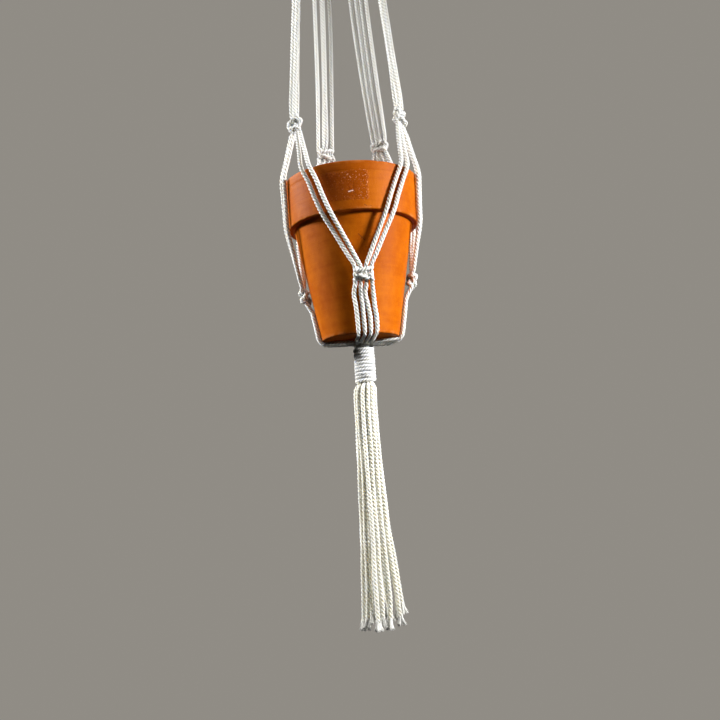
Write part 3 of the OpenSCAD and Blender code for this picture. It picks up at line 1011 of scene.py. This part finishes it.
# The patch on the collar: its edges in height over the foot and in azimuth
PATCH_LOW, PATCH_HIGH = 105.5, 133
PATCH_LEFT, PATCH_RIGHT = -33, 16.5
# Chips: azimuth, height over the foot, size and depth
CHIPS = [
    (-31, POT_H, 2.2, 0.5), (24, POT_H, 1.6, 0.35), (112, POT_H, 3.0, 0.6),
    (-140, POT_H, 2.0, 0.5), (-47, BODY_H, 1.8, 0.4), (38, BODY_H, 1.5, 0.4),
    (71, 0, 2.6, 0.5), (-22, 0, 1.8, 0.35),
]


def pot_outline():
    """(radius, height over the foot) round the pot's wall, from the drain hole outwards."""
    lip = POT_H - LIP_H
    inner_top = RIM_R - RIM_WALL
    inner_foot = FOOT_R - FOOT_WALL
    return rounded_outline([
        (DRAIN_R, 0, 1.0), (FOOT_R, 0, 1.4),
        (BODY_TOP_R, BODY_H, 0.8), (COLLAR_LOW_R, BODY_H, 1.3),
        (collar_r(lip) - 0.12, lip - 0.5, 0.3), (collar_r(lip) + 0.1, lip + 0.5, 0.3),
        (RIM_R, POT_H, 1.7), (inner_top, POT_H, 1.8),
        (inner_foot, FLOOR_T, 4), (DRAIN_R, FLOOR_T, 1.0),
    ], 1.5)


def near(value, target, width):
    """1 at the target, fading to 0 over a few widths."""
    return np.exp(-((value - target) / width) ** 2)


def make_pot(material):
    """The pot, turned from its outline, slightly uneven, with small chips along its edges."""
    segments = POT_SEGMENTS
    outline = pot_outline()
    az = np.arange(segments) * 360 / segments
    r = np.repeat(outline[:, 0][:, None], segments, axis=1)
    up = np.repeat(outline[:, 1][:, None], segments, axis=1)
    angle = np.radians(az)[None, :]
    grow = smooth(DRAIN_R, DRAIN_R + 20, r)
    r = r + grow * (0.16 * np.sin(2 * angle + 0.6) + 0.07 * np.sin(5 * angle + up * 0.06))
    r = r + grow * 0.012 * np.sin(up * 0.9 + 1.5 * np.sin(angle))
    signed = (az[None, :] + 180) % 360 - 180
    outer_r = np.where(up > BODY_H, collar_r(up), body_r(up))
    outside = smooth(3.2, 1.2, outer_r - r)
    for chip_az, chip_up, size, depth in CHIPS:
        away = np.hypot((signed - chip_az) * math.radians(1) * RIM_R * 0.9, up - chip_up)
        dent = depth * np.exp(-(away / size) ** 2) * outside
        r = r - dent
        up = up + dent * (0.5 if chip_up == 0 else -0.5)
    corners = np.stack([r * np.sin(angle), -r * np.cos(angle), FOOT_Z + up], -1)
    i, k = np.meshgrid(np.arange(len(outline)), np.arange(segments), indexing="ij")
    row, nxt = (i + 1) % len(outline), (k + 1) % segments
    here = i * segments
    there = row * segments
    faces = np.stack([here + k, here + nxt, there + nxt, there + k], -1)
    made = make_mesh("clay_pot", corners.reshape(-1, 3), [faces.reshape(-1, 4)], material)
    wear = near(up, POT_H, 1.6) * outside + near(up, BODY_H + 0.8, 1.3) * smooth(56, 56.6, r)
    wear = wear + near(up, 0.6, 1.6) * outside * smooth(FOOT_R - 3, FOOT_R, r)
    add_values(made, "wear", np.clip(wear, 0, 1).ravel())
    tall = smooth(PATCH_LOW, PATCH_LOW + 3, up) * smooth(PATCH_HIGH, PATCH_HIGH - 2.5, up)
    wide = smooth(PATCH_LEFT, PATCH_LEFT + 11, signed)
    wide = wide * smooth(PATCH_RIGHT, PATCH_RIGHT - 3, signed)
    patch = tall * wide * outside
    add_values(made, "patch", patch.ravel())
    rim = np.maximum(near(signed, 12, 4.5), near(up, 128, 3.5) * smooth(-14, 2, signed))
    speck = patch * np.clip(rim + 0.4 * near(up, 108, 2) + 0.2, 0, 1)
    add_values(made, "patch_edge", speck.ravel())
    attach(made, "pot")
    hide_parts("pot")


def make_ring(material):
    """A turned wooden ring, its bar very slightly flattened."""
    around, about = 160, 40
    a = np.arange(around)[:, None] * 2 * math.pi / around
    b = np.arange(about)[None, :] * 2 * math.pi / about
    bar = RING_BAR_R * (1 - 0.03 * np.abs(np.sin(b)) ** 4) + 0 * a
    r = RING_R + bar * np.cos(b)
    corners = np.stack([r * np.cos(a), -bar * np.sin(b), RING_Z + r * np.sin(a)], -1)
    i, k = np.meshgrid(np.arange(around), np.arange(about), indexing="ij")
    row, nxt = (i + 1) % around, (k + 1) % about
    faces = np.stack([i * about + k, row * about + k, row * about + nxt, i * about + nxt], -1)
    made = make_mesh("wooden_ring", corners.reshape(-1, 3), [faces.reshape(-1, 4)], material)
    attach(made, "ring")
    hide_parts("hanging_ring")


# ---------------------------------------------------------------- studio


STUDIO_COLOUR = (1.0, 0.94, 0.84, 1)
FLOOR_R = 1.9
FLOOR_Z = -1.9


def make_floor():
    """A plain floor well below the tassel, as bright as the backdrop, with a faded edge."""
    bpy.ops.mesh.primitive_circle_add(
        vertices=96, radius=FLOOR_R, fill_type="NGON", location=(0, 0, FLOOR_Z),
    )
    floor = bpy.context.object
    floor.name = "floor"
    g = Graph("floor")
    place = g.node("TexCoord").outputs["Object"]
    reach = g.node("VectorMath", {0: place}, operation="LENGTH").outputs["Value"]
    g.set(Base_Color=(0.30, 0.29, 0.27, 1), Roughness=0.8, Alpha=g.step(reach, 1.8, 0.7))
    g.set(Emission_Color=STUDIO_COLOUR, Emission_Strength=0.25)
    floor.data.materials.append(g.material)
    floor.visible_diffuse = False


# Each light: name, azimuth, elevation, distance, (width, height), watts, spread
# and the height on the hanger's axis that it faces
LIGHTS = [
    ("key_right", 69, 17, 1.4, (0.30, 0.16), 2.4, 40, -0.87),
    ("key_left", -99, 31, 1.4, (0.45, 0.14), 2.15, 40, -0.87),
    ("fill_front", -12, 34, 1.6, (0.80, 0.50), 0.8, 80, -0.90),
    ("fill_arms", -58, 10, 1.4, (0.12, 0.12), 0.13, 16, -0.52),
    ("top_front", -40, 12, 1.4, (0.30, 0.30), 0.5, 16, -0.14),
    ("top_back", 140, 12, 1.4, (0.30, 0.30), 0.5, 16, -0.14),
]


def make_light(name, az, elevation, distance, size, watts, spread, aim):
    """A soft rectangular light that faces the hanger's axis at the height aim."""
    data = bpy.data.lights.new(name, "AREA")
    data.shape = "RECTANGLE"
    data.size, data.size_y = size
    data.energy = watts
    data.spread = math.radians(spread)
    light = bpy.data.objects.new(name, data)
    target = Vector((0, 0, aim))
    e = math.radians(elevation)
    out = Vector(polar(math.cos(e), az, math.sin(e)))
    light.location = target + out * distance
    light.rotation_mode = "QUATERNION"
    light.rotation_quaternion = (-out).to_track_quat("-Z", "Y")
    bpy.context.scene.collection.objects.link(light)


# Brightness of the surroundings, as light on the object and as seen behind it
AMBIENT = 0.01
BACKGROUND = 0.28


def make_studio():
    """Plain backdrop, floor and soft lights: a key from each side, and fills for the rest."""
    scene = bpy.context.scene
    scene.view_settings.view_transform = "Standard"
    scene.view_settings.look = "None"
    world = bpy.data.worlds.new("studio")
    world.use_nodes = True
    tree = world.node_tree
    seen = tree.nodes.new("ShaderNodeLightPath").outputs["Is Camera Ray"]
    tone = tree.nodes.new("ShaderNodeMapRange")
    tree.links.new(seen, tone.inputs[0])
    tone.inputs[3].default_value = AMBIENT
    tone.inputs[4].default_value = BACKGROUND
    tree.links.new(tone.outputs[0], tree.nodes["Background"].inputs["Strength"])
    tree.nodes["Background"].inputs["Color"].default_value = STUDIO_COLOUR
    scene.world = world
    make_floor()
    for light in LIGHTS:
        make_light(*light)


make_camera()
# In each cotton, deep is the painted shade at the bottom of the grooves between the plies
cotton = cotton_material(
    "cotton_cord", light=(0.88, 0.89, 0.86), dark=(0.80, 0.79, 0.74), deep=(0.36, 0.33, 0.26),
)
tassel_cotton = cotton_material(
    "cotton_tassel", light=(0.93, 0.92, 0.84), dark=(0.87, 0.84, 0.72), deep=(0.54, 0.49, 0.34),
)
loose_cotton = cotton_material(
    "cotton_loose", light=(0.97, 0.96, 0.91), dark=(0.93, 0.91, 0.83), deep=(0.60, 0.56, 0.44),
    depth=0,
)
wrap_cotton = cotton_material(
    "cotton_wrap", light=(0.93, 0.93, 0.91), dark=(0.87, 0.86, 0.82), deep=(0.36, 0.34, 0.29),
)
for number in range(16):
    make_strand(number, tassel_cotton, loose_cotton)
make_long_cords(cotton)
make_wrap(
    "top_wrap", ARM_TOP_Z, TOP_WRAP_Z, turns=10.0, start_az=20, x=0, material=wrap_cotton,
)
make_wrap(
    "bottom_wrap", TASSEL_Z, BOTTOM_WRAP_Z, turns=10.4, start_az=140, x=GATHER_X,
    material=wrap_cotton,
)
make_pot(terracotta_material())
make_ring(wood_material())
make_studio()
